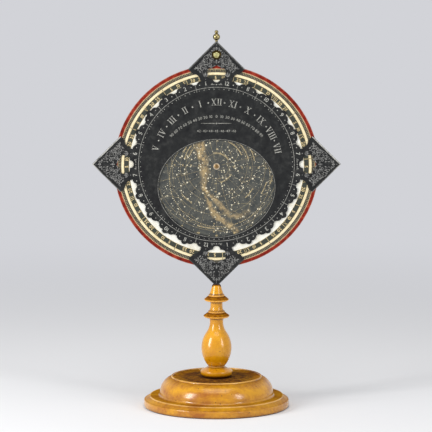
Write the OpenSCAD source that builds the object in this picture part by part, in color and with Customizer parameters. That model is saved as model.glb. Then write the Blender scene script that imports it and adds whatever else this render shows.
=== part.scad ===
// Planisphere on a turned stand: a scalloped, pierced front mask and a back board hold a
// chart disc that turns about the celestial pole. Millimetres, +Z up, face towards -Y.
// The origin is the middle of the base's underside.

/* [Base] */
// Radius of the base at its rim
base_r = 89; // [84:0.5:100]
// Height of the plain rim
rim_h = 9.5; // [8:0.1:11]
// Width of the rim outside the step
rim_w = 7; // [5:0.5:9]
// Height of the step's edge over the rim
step_rise = 4.3; // [3:0.1:6]
// Width of the step outside the dome
step_w = 12.3; // [10:0.1:14]
// Height of the dome's crown over the step
dome_rise = 23.8; // [22:0.1:29]
// Radius of the dome's rounded shoulder
dome_round = 20; // [16:0.5:22]
// From the dome's side in to the ring that the bead runs on
bead_inset = 15.1; // [13:0.1:19]
// Radius of the bead's round section
bead_r = 1.3; // [1:0.1:1.8]
// Depth of the dish inside the bead
dish_depth = 1.7; // [1:0.1:3]
// Width of the dish's sloping border
dish_border = 8; // [4:0.5:14]
// Width of the flat ring that the base stands on
standing_w = 23; // [15:1:35]
// Depth of the hollow under the base
hollow_depth = 1.5; // [0.5:0.1:3]

/* [Stem] */
// Radius of the roll at the stem's foot
foot_r = 19.7; // [17:0.1:22]
// Radius of that roll's round section
foot_roll = 6.4; // [5:0.1:7]
// Fall of the roll's sloping top, from the waist out to the roll's edge
foot_fall = 4.8; // [3:0.1:6]
// Radius of the waist between the roll and the vase
waist_r = 10.4; // [9:0.1:12]
// Largest radius of the vase
vase_r = 18.5; // [16.5:0.1:20]
// Radius of the vase's side curve
vase_arc = 34; // [32:0.5:38]
// From the base's top up to the widest line of the vase
vase_rise = 36.2; // [34:0.1:39]
// From the widest line up to the narrowest line of the vase's neck
shoulder_rise = 32; // [30:0.5:36]
// Radius of the vase's neck
vase_neck_r = 8.2; // [7.5:0.1:10]
// From that neck up to the rim of the lower collar
low_collar_rise = 8; // [7:0.1:12]
// Radius of the lower collar
low_collar_r = 15.9; // [14:0.1:18]
// Radius of the upper collar
top_collar_r = 15.1; // [14:0.1:17]
// From the lower collar's rim up to the upper collar's rim
collar_pitch = 20.4; // [18:0.1:25]
// Radius of the rounded lower edge of each collar
collar_roll = 1.9; // [1.4:0.1:2.6]
// Height of the slope above each collar's rim
collar_rise = 4.5; // [4:0.1:6]
// Radius of the neck between the collars
neck_r = 7.4; // [6.5:0.1:9]
// How far that neck flares out to the lower collar
neck_flare = 2.1; // [1:0.1:3]
// Height of the flare
flare_h = 6.5; // [4:0.5:8]
// From the upper collar's rim up to the top of the stem
spire_h = 18.4; // [15:0.1:24]
// Radius of the spire at its foot
spire_foot_r = 9; // [8:0.1:10]
// Radius of the spire at its top
spire_top_r = 5.2; // [4.4:0.1:6]
// Radius of the tenon that holds the stem in the base
tenon_r = 6.5; // [5:0.1:8]
// Length of the tenon
tenon_l = 20; // [12:0.5:26]
// Depth that the lower corner of the card stands in the stem's slot
slot_depth = 2.4; // [2:0.1:4]

/* [Card] */
// From the circle of the chart's edge out to the tip of each corner
corner_reach = 26.8; // [24:0.2:34]
// From that circle in to the widest line of each corner
corner_lap = 7.7; // [5:0.1:10]
// Thickness of the front mask
mask_t = 0.9; // [0.6:0.05:1.5]
// Thickness of the back board
back_t = 1.2; // [0.8:0.1:2]
// From the chart's edge in to the back board's edge
back_inset = 13.2; // [8:0.1:24]
// Height of the mask's middle over the pole that the chart turns on
mask_rise = 2.8; // [1:0.1:3.5]
// Play between the chart and the boards, on each side
chart_play = 0.3; // [0.2:0.05:0.5]
// Play between the chart's edge and the corner spacers
edge_play = 1.2; // [0.8:0.1:2]

/* [Mask] */
// Number of scallops round the mask
lobe_count = 24; // [12:12:36]
// From the chart's edge in to the crown of each scallop
crown_inset = 18.2; // [16:0.1:20]
// Depth of the valleys between scallops
valley_depth = 5.8; // [4:0.1:6.5]
// Radius of the crown's round end
crown_round = 3.9; // [3.4:0.1:4.5]
// From the crown in to the shoulders of each scallop
shoulder_drop = 2.6; // [2:0.1:4]
// Radius of the shoulders' round ends
shoulder_round = 5.4; // [4.5:0.1:6]
// Angle from a scallop's crown to each of its shoulders
shoulder_angle = 3.4; // [3:0.1:4]
// Half the width of a corner's neck, where it meets the scallops
corner_neck = 18.8; // [18:0.1:20]
// Radius of the rounds that hollow the sides of that neck
scoop_r = 10.6; // [9:0.1:11.5]
// From the chart's edge in to the middle of those rounds
scoop_inset = 23.8; // [22:0.1:26]
// Latitude that the horizon window is drawn for
latitude = 45; // [35:1:55]
// Degrees of sky from the pole to the edge of the star sheet
star_span = 140.3; // [136:0.1:150]
// Widening of the horizon window across the mask
window_widen = 1.04; // [1:0.01:1.1]
// Number of points on the horizon window's curve
window_points = 144; // [72:12:288]

/* [Corner windows] */
// From the binding in to a corner window's outer edge
pane_gap = 2; // [1:0.1:3]
// Height of a corner window
pane_h = 12.8; // [11:0.1:14]
// Half the width of a corner window
pane_half = 11.6; // [10:0.2:13]
// Radius of a corner window's round ends
pane_round = 5; // [3:0.5:6]
// Radius of the round bay on a corner window's inner edge
bay_in_r = 4.7; // [3.5:0.1:5.5]
// Radius of the round bay on a corner window's outer edge
bay_out_r = 5.8; // [4.5:0.1:6.2]
// How far the outer bay reaches past the outer edge
bay_out_reach = 3.4; // [2:0.1:4]

/* [Chart] */
// Radius of the chart disc over its binding
chart_r = 125.2; // [120:0.1:126]
// Thickness of the chart's board
board_t = 1; // [0.6:0.05:1.4]
// Thickness of the printed sheets and of the binding's cloth
sheet_t = 0.2; // [0.1:0.05:0.3]
// Width of the binding on each face
binding_w = 4.4; // [3:0.1:6]
// Width of the printed ring of dates
ring_w = 27.8; // [24:0.1:31]
// Gap between sheets that lie side by side
sheet_gap = 0.05; // [0.02:0.01:0.1]

/* [Pole] */
// Radius of the pole rivet's shank
rivet_r = 1.8; // [1.4:0.1:2.2]
// Running play between the rivet and the eyelet, on the radius
pole_play = 0.05; // [0.02:0.01:0.1]
// Wall of the eyelet's tube
eyelet_wall = 0.7; // [0.5:0.1:1]
// Radius of the eyelet's flange
eyelet_flange_r = 4; // [3.6:0.1:5]
// Thickness of the eyelet's flange
eyelet_flange_t = 0.35; // [0.2:0.05:0.5]
// Radius of the rivet's front head
rivet_head_r = 2.8; // [2.5:0.1:3.2]
// Height of the rivet's front head
rivet_head_h = 0.8; // [0.5:0.1:1.2]
// Play under the rivet's front head
head_play = 0.15; // [0.1:0.05:0.3]
// Radius of the washer behind the back board
washer_r = 4; // [3.5:0.1:6]
// Thickness of that washer
washer_t = 0.4; // [0.3:0.05:0.6]
// Radius of the clenched end behind the washer
clench_r = 2.5; // [2.3:0.1:3]
// Height of the clenched end behind the washer
clench_h = 0.3; // [0.2:0.05:0.4]

/* [Rod and finial] */
// Radius of the rod behind the card
rod_r = 1.1; // [0.9:0.05:1.3]
// Space between the clenched rivet and the rod
rod_space = 0.1; // [0.05:0.05:0.3]
// Depth of the rod in the stem
rod_seat = 36; // [25:1:60]
// From the tip of the top corner down to the corner screw
screw_drop = 16.7; // [14:0.1:20]
// Height of the block that joins the rod, the screw and the finial
block_h = 15; // [13:0.5:18]
// Width of that block
block_w = 7; // [5:0.5:9]
// Radius of the round that takes the block's edges off
block_round = 4.1; // [3.6:0.1:5]
// Depth of the rod's and the finial's ends in the block
block_seat = 4.5; // [3:0.5:5]
// From the tip of the card up to the middle of the finial's large ball
ball_rise = 4.5; // [4.5:0.1:8]
// Radius of the finial's large ball
ball_r = 4.4; // [3.8:0.1:4.7]
// Radius of the finial's small ball
button_r = 2.35; // [1.8:0.1:2.8]
// How far the small ball is sunk into the large one
button_sink = 0.6; // [0.3:0.1:1]
// Radius of the finial's neck
finial_neck_r = 1.7; // [1.3:0.1:1.8]

/* [Corner screw] */
// Radius of the screw's shank
screw_r = 1.2; // [1:0.1:1.5]
// Play round the shank in the card
screw_play = 0.3; // [0.1:0.1:0.5]
// Radius of the screw's round head
screw_head_r = 3.5; // [3:0.1:4]
// Height of the screw's round head
screw_head_h = 2; // [1.5:0.1:3]
// How far the shank stops short of the block's back
screw_short = 1.5; // [0.5:0.1:2]
// Radius of the cup washer under the head
cup_r = 5.75; // [5:0.1:6.2]
// Height of the cup washer
cup_h = 0.9; // [0.6:0.1:1.4]
// Play of fixed pins in their holes, on the radius
fixed_play = 0.02; // [0.01:0.01:0.05]

/* [Hidden] */
$fn = 96;

wood = "#c98a2b";
brass = "#d0a94e";
black_card = "#2d2d30";

// Base: radii from the rim inwards and heights from the table upwards
step_r = base_r - rim_w;
dome_r = step_r - step_w;
bead_ring_r = dome_r - bead_inset;
step_h = rim_h + step_rise;
base_h = step_h + dome_rise;

// Base: the bead stands on the dome's round, and the stem on a low boss in the dish
dome_mid_r = dome_r - dome_round;
dome_mid_z = base_h - dome_round;
bead_z = dome_mid_z + sqrt(dome_round * dome_round - pow(bead_ring_r - dome_mid_r, 2));
dish_z = base_h - dish_depth;
boss_h = 0.9;
boss_inset = 2;
seat_z = dish_z + boss_h;
seat_r = foot_r - boss_inset;

// Stem: heights of its lines above the table
vase_z = seat_z + vase_rise;
vase_neck_z = vase_z + shoulder_rise;
low_collar_z = vase_neck_z + low_collar_rise;
top_collar_z = low_collar_z + collar_pitch;
stem_top_z = top_collar_z + spire_h;
collar_step_h = 1.1;
tenon_play = 0.5;
step_edge_w = 0.8;
low_step_r = neck_r + neck_flare + step_edge_w;
top_step_r = spire_foot_r + step_edge_w;

// Stem: the neck's hollow curve touches the vase's side curve
vase_axis = vase_arc - vase_r;
neck_span = vase_neck_r + vase_axis;
cove_r = (neck_span * neck_span + shoulder_rise * shoulder_rise - vase_arc * vase_arc)
    / (2 * (vase_arc - neck_span));
cove_share = vase_arc / (vase_arc + cove_r);
cove_z = vase_z + cove_share * shoulder_rise;
cove_meet_r = cove_share * (neck_span + cove_r) - vase_axis;

// Card: layers from front to back along Y
chart_t = board_t + 2 * sheet_t;
spacer_t = chart_t + 2 * chart_play;
card_t = mask_t + spacer_t + back_t;
mask_front_y = -3.4;
spacer_front_y = mask_front_y + mask_t;
chart_front_y = spacer_front_y + chart_play;
board_front_y = chart_front_y + sheet_t;
back_front_y = spacer_front_y + spacer_t;
card_back_y = mask_front_y + card_t;
slot_play = 0.05;

// Card: radii of the mask, measured from the chart's edge
tip_r = chart_r + corner_reach;
corner_half = corner_reach + corner_lap;
crown_r = chart_r - crown_inset;
valley_r = crown_r - valley_depth;
shoulder_r = crown_r - shoulder_drop;
pane_out = chart_r - binding_w - pane_gap;
pane_in = pane_out - pane_h;
star_r = chart_r - binding_w - ring_w;
degree_scale = star_r / star_span;
screw_out = tip_r - screw_drop;

// Card: heights of the tip, the mask's middle and the pole
tip_z = stem_top_z - slot_depth + slot_play;
mask_z = tip_z + tip_r;
pole_z = mask_z - mask_rise;

// Pole fittings
eyelet_in_r = rivet_r + pole_play;
eyelet_out_r = eyelet_in_r + eyelet_wall;
eyelet_front_y = chart_front_y - eyelet_flange_t;
washer_back_y = card_back_y + washer_t;
clench_y = washer_back_y + clench_h;

// Rod, block and finial stand behind the card
rod_y = clench_y + rod_space + rod_r;
rod_foot_z = stem_top_z - rod_seat;
screw_z = mask_z + screw_out;
block_z = screw_z - block_h / 2;
block_top_z = block_z + block_h;
block_depth = 2 * (rod_y - card_back_y);
ball_z = mask_z + tip_r + ball_rise;
button_z = ball_z + ball_r + button_r - button_sink;

// A flat piece of card whose drawing's middle is at height z, between y0 and y0 + t
module card_plate(y0, t, z) {
    translate([0, y0 + t, z]) rotate([90, 0, 0]) linear_extrude(height = t) children();
}

// A turned piece along Y, drawn as radius against distance towards the back from y0
module turned_on_y(y0, z) {
    translate([0, y0, z]) rotate([-90, 0, 0]) rotate_extrude() children();
}

// One scallop: a round crown between two lower shoulders
module scallop() {
    translate([0, crown_r - crown_round]) circle(r = crown_round);
    for (side = [-1, 1])
        rotate(side * shoulder_angle)
            translate([0, shoulder_r - shoulder_round]) circle(r = shoulder_round);
}

// The square that makes one corner, on its diagonal
module corner_square() {
    translate([0, tip_r - corner_half]) rotate(45)
        square(corner_half * sqrt(2), center = true);
}

// A corner of the mask, hollowed at both sides of its neck
module scooped_corner() {
    difference() {
        corner_square();
        for (side = [-1, 1])
            translate([side * (corner_neck + scoop_r), chart_r - scoop_inset])
                circle(r = scoop_r);
    }
}

// A corner window: a wide body with round ends and a bay on each long side
module corner_window() {
    for (side = [-1, 1], end = [pane_in + pane_round, pane_out - pane_round])
        translate([side * (pane_half - pane_round), end]) circle(r = pane_round);
    translate([pane_round - pane_half, pane_in])
        square([2 * (pane_half - pane_round), pane_out - pane_in]);
    translate([-pane_half, pane_in + pane_round])
        square([2 * pane_half, pane_out - pane_in - 2 * pane_round]);
    translate([0, pane_in]) circle(r = bay_in_r);
    translate([0, pane_out + bay_out_reach - bay_out_r]) circle(r = bay_out_r);
}

// The horizon of the given latitude on a chart whose radius grows evenly from the pole
function horizon_r(hour) = degree_scale * (90 + atan(cos(hour) / tan(latitude)));
module horizon_window() {
    polygon([
        for (i = [0 : window_points - 1])
            let (hour = 360 * i / window_points, r = horizon_r(hour))
                [window_widen * r * sin(hour), -r * cos(hour)]
    ]);
}

module mask_drawing() {
    difference() {
        union() {
            circle(r = valley_r);
            for (i = [0 : lobe_count - 1]) rotate(360 * (i + 0.5) / lobe_count) scallop();
            for (turn = [0 : 90 : 270]) rotate(turn) scooped_corner();
        }
        for (turn = [0 : 90 : 270]) rotate(turn) corner_window();
        horizon_window();
        translate([0, screw_out]) circle(r = screw_r + screw_play);
    }
}

module back_drawing() {
    difference() {
        union() {
            circle(r = chart_r - back_inset);
            for (turn = [0 : 90 : 270]) rotate(turn) corner_square();
        }
        translate([0, screw_out]) circle(r = screw_r + screw_play);
        translate([0, -mask_rise]) circle(r = rivet_r + fixed_play);
    }
}

// The part of a corner that lies outside the chart's edge
module spacer_drawing(turn) {
    difference() {
        rotate(turn) corner_square();
        translate([0, -mask_rise]) circle(r = chart_r + edge_play);
        translate([0, screw_out]) circle(r = screw_r + screw_play);
    }
}

module spacer(turn) {
    color(black_card) card_plate(spacer_front_y, spacer_t, mask_z) spacer_drawing(turn);
}

// Half section of the base
module base_drawing() {
    shelf_cove = 3;
    rim_edge = 1.5;
    step_edge = 1;
    foot_edge = 1.2;
    difference() {
        union() {
            polygon([[0, 0], [base_r - foot_edge, 0], [base_r, foot_edge], [0, foot_edge]]);
            translate([0, foot_edge]) square([base_r, rim_h - rim_edge - foot_edge]);
            translate([0, rim_h - rim_edge]) square([base_r - rim_edge, rim_edge]);
            translate([base_r - rim_edge, rim_h - rim_edge]) circle(r = rim_edge);
            polygon([
                [0, rim_h], [base_r - rim_edge, rim_h], [step_r, step_h - step_edge],
                [step_r, step_h], [0, step_h]
            ]);
            translate([0, step_h]) square([dome_r + shelf_cove, shelf_cove]);
            translate([0, step_h]) square([dome_r, dome_mid_z - step_h]);
            translate([0, dome_mid_z]) square([dome_mid_r, dome_round]);
            intersection() {
                translate([dome_mid_r, dome_mid_z]) circle(r = dome_round);
                translate([0, dome_mid_z]) square([dome_r, dome_round]);
            }
            translate([bead_ring_r, bead_z]) circle(r = bead_r);
        }
        translate([dome_r + shelf_cove, step_h + shelf_cove]) circle(r = shelf_cove);
        polygon([
            [0, seat_z], [seat_r, seat_z], [bead_ring_r - dish_border, dish_z],
            [bead_ring_r - bead_r, bead_z], [bead_ring_r - bead_r, bead_z + dome_round],
            [0, bead_z + dome_round]
        ]);
        square([base_r - standing_w, hollow_depth]);
        translate([0, seat_z - tenon_l - tenon_play])
            square([tenon_r + fixed_play, tenon_l + 2 * tenon_play]);
    }
}

module base() {
    color(wood) rotate_extrude() base_drawing();
}

// Half section of a collar: a slope above its rim and a rounded edge below
module collar_drawing(rim_z, r, step_r) {
    bevel_w = 0.3;
    bevel_h = 0.4;
    polygon([
        [0, rim_z], [r, rim_z], [r - bevel_w, rim_z + bevel_h],
        [step_r, rim_z + collar_rise], [0, rim_z + collar_rise]
    ]);
    translate([0, rim_z + collar_rise]) square([step_r, collar_step_h]);
    translate([0, rim_z - collar_roll]) square([r - collar_roll, collar_roll]);
    intersection() {
        translate([r - collar_roll, rim_z]) circle(r = collar_roll);
        translate([0, rim_z - collar_roll]) square([r, collar_roll]);
    }
}

// Middle of the circle that hollows the outer side between point a and a higher point b
function hollow_middle(a, b, r) =
    let (d = b - a, half = norm(d) / 2)
        (a + b) / 2 + sqrt(r * r - half * half) * [d[1], -d[0]] / norm(d);

// Half section of the stem, from its tenon to its spire
module stem_drawing() {
    seam = 0.05;
    neck_foot_z = low_collar_z + collar_rise + collar_step_h;
    flare_curve = (neck_flare * neck_flare + flare_h * flare_h) / (2 * neck_flare);
    spire_z = top_collar_z + collar_rise + collar_step_h;
    spire_curve = 50;
    spire_edge = 0.8;
    spire_land = 0.3;
    translate([0, seat_z - tenon_l]) square([tenon_r, tenon_l]);
    intersection() {
        union() {
            translate([0, seat_z]) square([foot_r - foot_roll, 2 * foot_roll]);
            translate([foot_r - foot_roll, seat_z + foot_roll]) circle(r = foot_roll);
        }
        polygon([
            [0, seat_z], [foot_r, seat_z], [foot_r, seat_z + 2 * foot_roll - foot_fall],
            [waist_r, seat_z + 2 * foot_roll], [0, seat_z + 2 * foot_roll]
        ]);
    }
    translate([0, seat_z + foot_roll]) square([waist_r, vase_rise - foot_roll]);
    intersection() {
        translate([-vase_axis, vase_z]) circle(r = vase_arc);
        translate([0, seat_z + foot_roll]) square([vase_r, cove_z - seat_z - foot_roll]);
    }
    difference() {
        translate([0, cove_z - 1]) square([cove_meet_r - seam, low_collar_z - cove_z + 1]);
        translate([vase_neck_r + cove_r, vase_neck_z]) circle(r = cove_r);
    }
    collar_drawing(low_collar_z, low_collar_r, low_step_r);
    difference() {
        translate([0, neck_foot_z]) square([neck_r + neck_flare, top_collar_z - neck_foot_z]);
        translate([neck_r + flare_curve, neck_foot_z + flare_h]) circle(r = flare_curve);
        translate([neck_r, neck_foot_z + flare_h]) square([flare_curve, collar_pitch]);
    }
    collar_drawing(top_collar_z, top_collar_r, top_step_r);
    difference() {
        polygon([
            [0, spire_z], [spire_foot_r, spire_z],
            [spire_foot_r, stem_top_z + spire_top_r - spire_foot_r - spire_edge],
            [spire_top_r - spire_edge, stem_top_z], [0, stem_top_z]
        ]);
        translate(hollow_middle(
            [spire_foot_r, spire_z + spire_land], [spire_top_r, stem_top_z], spire_curve
        )) circle(r = spire_curve);
    }
}

module stem() {
    color(wood) difference() {
        rotate_extrude() stem_drawing();
        translate([-foot_r, mask_front_y - slot_play, stem_top_z - slot_depth])
            cube([2 * foot_r, card_t + 2 * slot_play, slot_depth + 1]);
        translate([0, rod_y, rod_foot_z]) cylinder(r = rod_r + fixed_play, h = rod_seat + 1);
    }
}

module support_rod() {
    color(brass) translate([0, rod_y, rod_foot_z])
        cylinder(r = rod_r, h = block_z + block_seat - rod_foot_z);
}

// The block clamps the top corner's back and takes the rod, the screw and the finial
module rod_block() {
    color(brass) difference() {
        intersection() {
            translate([-block_w / 2, card_back_y, block_z]) cube([block_w, block_depth, block_h]);
            translate([0, rod_y, block_z]) cylinder(r = block_round, h = block_h);
        }
        translate([0, rod_y, block_z - 1]) cylinder(r = rod_r + fixed_play, h = block_seat + 1);
        translate([0, rod_y, block_top_z - block_seat])
            cylinder(r = rod_r + fixed_play, h = block_seat + 1);
        translate([0, card_back_y - 1, screw_z]) rotate([-90, 0, 0])
            cylinder(r = screw_r + fixed_play, h = block_depth);
    }
}

// Half section of the finial: a small ball on a large one, on a plain neck
module finial_drawing() {
    spigot_z = block_top_z - block_seat;
    translate([0, spigot_z]) square([rod_r, block_seat]);
    translate([0, block_top_z]) square([finial_neck_r, ball_z - block_top_z]);
    intersection() {
        union() {
            translate([0, ball_z]) circle(r = ball_r);
            translate([0, button_z]) circle(r = button_r);
        }
        translate([0, block_top_z]) square([ball_r, button_z + 2 * button_r - block_top_z]);
    }
}

module finial() {
    color(brass) translate([0, rod_y, 0]) rotate_extrude() finial_drawing();
}

// Half section of the screw, from its grooved head to the end of its shank
module screw_drawing() {
    rim = 0.7;
    groove = 0.45;
    shank_end = screw_head_h + cup_h + card_t + block_depth - screw_short;
    difference() {
        union() {
            translate([0, rim]) square([screw_head_r, screw_head_h - rim]);
            square([screw_head_r - rim, rim]);
            intersection() {
                translate([screw_head_r - rim, rim]) circle(r = rim);
                square([screw_head_r, screw_head_h]);
            }
        }
        intersection() {
            translate([(screw_r + screw_head_r) / 2 - groove, 0]) circle(r = groove);
            square([screw_head_r, screw_head_h]);
        }
    }
    translate([0, screw_head_h]) square([screw_r, shank_end - screw_head_h]);
}

module fixing_screw() {
    color(brass)
        turned_on_y(mask_front_y - cup_h - screw_head_h, screw_z) screw_drawing();
}

module screw_cup() {
    lip = 0.4;
    color("#6b5a30") turned_on_y(mask_front_y - cup_h, screw_z)
        polygon([
            [screw_r + fixed_play, 0], [screw_head_r + lip, 0], [cup_r, cup_h - lip],
            [cup_r, cup_h], [screw_r + fixed_play, cup_h]
        ]);
}

module front_mask() {
    color(black_card) card_plate(mask_front_y, mask_t, mask_z) mask_drawing();
}

module back_board() {
    color("#3a3733") card_plate(back_front_y, back_t, mask_z) back_drawing();
}

module spacer_top() { spacer(0); }
module spacer_right() { spacer(-90); }
module spacer_bottom() { spacer(180); }
module spacer_left() { spacer(90); }

module pole_rivet() {
    head_y = eyelet_front_y - head_play - rivet_head_h;
    rivet_dome_r = (rivet_head_r * rivet_head_r + rivet_head_h * rivet_head_h) / (2 * rivet_head_h);
    color("#a8703c") turned_on_y(head_y, pole_z) {
        intersection() {
            translate([0, rivet_dome_r]) circle(r = rivet_dome_r);
            square([rivet_head_r, rivet_head_h]);
        }
        translate([0, rivet_head_h]) square([rivet_r, clench_y - head_y - rivet_head_h]);
        translate([0, washer_back_y - head_y]) square([clench_r, clench_h]);
    }
}

module rivet_washer() {
    color(brass) turned_on_y(card_back_y, pole_z)
        translate([rivet_r + fixed_play, 0]) square([washer_r - rivet_r - fixed_play, washer_t]);
}

module chart_board() {
    color("#a5876a") card_plate(board_front_y, board_t, pole_z) difference() {
        circle(r = chart_r - sheet_t);
        circle(r = eyelet_out_r + fixed_play);
    }
}

module star_sheet() {
    color("#3e3f3b") card_plate(chart_front_y, sheet_t, pole_z) difference() {
        circle(r = star_r);
        circle(r = eyelet_out_r + fixed_play);
    }
}

module date_ring() {
    color("#dcd8c8") card_plate(chart_front_y, sheet_t, pole_z) difference() {
        circle(r = chart_r - binding_w - sheet_gap);
        circle(r = star_r + sheet_gap);
    }
}

// Cloth folded round the chart's edge, seen as a red ring
module edge_binding() {
    color("#9a321b") turned_on_y(chart_front_y, pole_z) {
        translate([chart_r - binding_w, 0]) square([binding_w, sheet_t]);
        translate([chart_r - sheet_t, 0]) square([sheet_t, chart_t]);
        translate([chart_r - binding_w, chart_t - sheet_t]) square([binding_w, sheet_t]);
    }
}

module pole_eyelet() {
    color("#b9803f") turned_on_y(eyelet_front_y, pole_z) {
        translate([eyelet_in_r, 0]) square([eyelet_flange_r - eyelet_in_r, eyelet_flange_t]);
        translate([eyelet_in_r, 0])
            square([eyelet_wall, eyelet_flange_t + sheet_t + board_t]);
    }
}

base();
stem();
support_rod();
rod_block();
finial();
fixing_screw();
screw_cup();
front_mask();
back_board();
spacer_top();
spacer_right();
spacer_bottom();
spacer_left();
pole_rivet();
rivet_washer();
chart_board();
star_sheet();
date_ring();
edge_binding();
pole_eyelet();
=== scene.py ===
"""Planisphere on a turned stand: the finish of each solid, and the print on the mask and chart.

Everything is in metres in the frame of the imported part: +Z up, the printed face towards -Y.
Print is drawn flat in millimetres, across to the right and up, and then laid on its sheet.
"""
import math
import random

import bpy
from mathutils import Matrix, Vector


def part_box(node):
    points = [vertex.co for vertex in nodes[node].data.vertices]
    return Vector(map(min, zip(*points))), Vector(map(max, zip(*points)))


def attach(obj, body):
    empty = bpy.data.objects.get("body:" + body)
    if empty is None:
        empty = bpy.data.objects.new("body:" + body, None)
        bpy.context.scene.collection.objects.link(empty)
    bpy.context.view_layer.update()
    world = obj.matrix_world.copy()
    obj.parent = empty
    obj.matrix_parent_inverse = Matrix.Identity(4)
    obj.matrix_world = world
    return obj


MM = 0.001

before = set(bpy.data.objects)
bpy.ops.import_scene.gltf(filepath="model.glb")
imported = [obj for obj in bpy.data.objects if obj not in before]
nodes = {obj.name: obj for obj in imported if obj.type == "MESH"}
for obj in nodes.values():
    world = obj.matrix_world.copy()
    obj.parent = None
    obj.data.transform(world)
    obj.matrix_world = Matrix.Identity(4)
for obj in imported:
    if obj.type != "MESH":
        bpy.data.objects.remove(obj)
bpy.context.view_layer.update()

# The card and the chart, read from the frame: places in metres, radii in millimetres
mask_low, mask_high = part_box("front_mask")
MASK_FACE = mask_low.y
MASK_MIDDLE = (mask_low.z + mask_high.z) / 2
TIP_R = (mask_high.x - mask_low.x) / 2 / MM
chart_low, chart_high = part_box("edge_binding")
POLE = (chart_low.z + chart_high.z) / 2
CHART_R = (chart_high.x - chart_low.x) / 2 / MM
SHEET_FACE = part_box("star_sheet")[0].y
STAR_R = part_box("star_sheet")[1].x / MM
DATES_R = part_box("date_ring")[1].x / MM
# Radius of the dish in the base, inside its bead, in millimetres
DISH_R = 53.3

# The sky on the star sheet: evenly spaced degrees from the pole to the sheet's edge
STAR_SPAN = 140.3
DEGREE = STAR_R / STAR_SPAN
# The horizon window is drawn for this latitude and widened a little
LATITUDE = 45
WINDOW_WIDEN = 1.04
# The right ascension that stands straight up at rest, in hours
TOP_HOUR = 7


def tint(code):
    """An sRGB hex colour as linear red, green, blue and alpha."""
    parts = [int(code[i : i + 2], 16) / 255 for i in (1, 3, 5)]
    return [p / 12.92 if p <= 0.04045 else ((p + 0.055) / 1.055) ** 2.4 for p in parts] + [1]


def live(sockets, name=None):
    """The first socket that is in use, or the first in use with that name."""
    return next(socket for socket in sockets if socket.enabled and name in (None, socket.name))


def add(material, kind, inputs=None, stops=None, **settings):
    """A shader node of this kind. Inputs are given by name, or by number where names repeat, and
    take a number, a colour, a socket, or a node for its first output. Stops fill a colour ramp."""
    tree = material.node_tree
    node = tree.nodes.new("ShaderNode" + kind)
    for name, value in settings.items():
        setattr(node, name, value)
    for key, value in (inputs or {}).items():
        socket = node.inputs[key] if isinstance(key, int) else live(node.inputs, key)
        if isinstance(value, bpy.types.Node):
            value = live(value.outputs)
        if isinstance(value, bpy.types.NodeSocket):
            tree.links.new(value, socket)
        else:
            socket.default_value = value
    if stops:
        ramp = node.color_ramp.elements
        while len(ramp) < len(stops):
            ramp.new(0.5)
        for element, (place, colour) in zip(ramp, stops):
            element.position = place
            element.color = tint(colour)
    return node


def finish(name, surface):
    """A material whose surface node is made by the given function, from the material and the
    place on the object in metres."""
    material = bpy.data.materials.new(name)
    material.use_nodes = True
    material.node_tree.nodes.clear()
    place = add(material, "TexCoord").outputs["Object"]
    add(material, "OutputMaterial", {"Surface": surface(material, place)})
    return material


def dress(node_name, material):
    """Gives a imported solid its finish."""
    mesh = nodes[node_name].data
    mesh.materials.clear()
    mesh.materials.append(material)


# Distance from crest to crest of the wave texture at scale 1: its rings, and its diagonal bands
# where they cross an upright face
RING_PITCH = 2 * math.pi / 20
BAND_PITCH = 2 * math.pi / 10 / math.sqrt(2)


# Wood


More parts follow.
